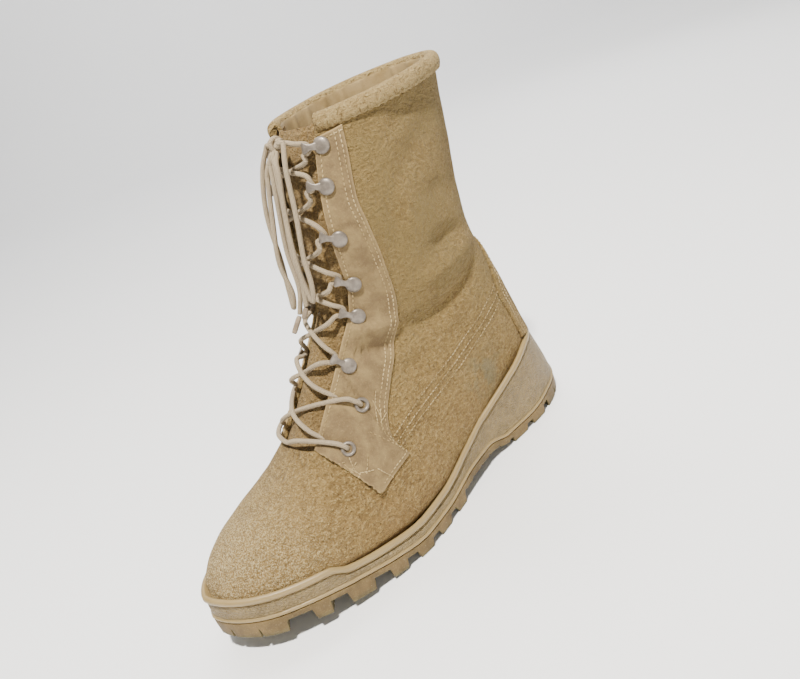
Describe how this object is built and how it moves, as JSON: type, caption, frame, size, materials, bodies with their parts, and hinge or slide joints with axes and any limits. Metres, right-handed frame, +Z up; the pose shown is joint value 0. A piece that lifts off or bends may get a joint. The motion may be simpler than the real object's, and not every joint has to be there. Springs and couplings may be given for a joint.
{
  "type": "combat boot",
  "caption": "Left combat boot: lugged outsole, moulded midsole cup, hollow roughout leather shaft open at collar and throat, laced through eyelets and speed hooks.",
  "frame": {"origin": "middle of the boot's box in plan, on the floor under the lugs", "axes": "+Z up, toe towards -Y, outer side of the foot towards +X"},
  "size_m": [0.1072, 0.307, 0.2627],
  "materials": {
    "coated_metal": "warm grey baked coating",
    "footbed": "dark woven cover over foam",
    "lace_cord": "light taupe round braid",
    "lace_tip": "clear brown plastic tip",
    "midsole_foam": "khaki-tan moulded polyurethane with a fine leather grain",
    "outsole_rubber": "amber-tan moulded rubber, satin, darker underneath",
    "roughout_leather": "tan roughout leather with a directional nap",
    "smooth_leather": "tan leather with a smoother, duller face",
    "tongue_leather": "brown-tan suede leaf with raw cut edges"
  },
  "bodies": {
    "root": {"aglet_1": "lace_tip", "aglet_2": "lace_tip", "backstay": "roughout_leather", "collar": "roughout_leather", "eyelet_1": "coated_metal", "eyelet_2": "coated_metal", "eyelet_3": "coated_metal", "eyelet_4": "coated_metal", "facing_inner": "smooth_leather", "facing_outer": "smooth_leather", "hook_1": "coated_metal", "hook_10": "coated_metal", "hook_11": "coated_metal", "hook_12": "coated_metal", "hook_2": "coated_metal", "hook_3": "coated_metal", "hook_4": "coated_metal", "hook_5": "coated_metal", "hook_6": "coated_metal", "hook_7": "coated_metal", "hook_8": "coated_metal", "hook_9": "coated_metal", "insole": "footbed", "lace_crossings": "lace_cord", "lace_end_1": "lace_cord", "lace_end_2": "lace_cord", "lace_knot": "lace_cord", "lace_loop_1": "lace_cord", "lace_loop_2": "lace_cord", "midsole": "midsole_foam", "outsole": "outsole_rubber", "tongue": "tongue_leather", "upper": "roughout_leather", "vent_1": "coated_metal", "vent_2": "coated_metal"}
  },
  "joints": []
}
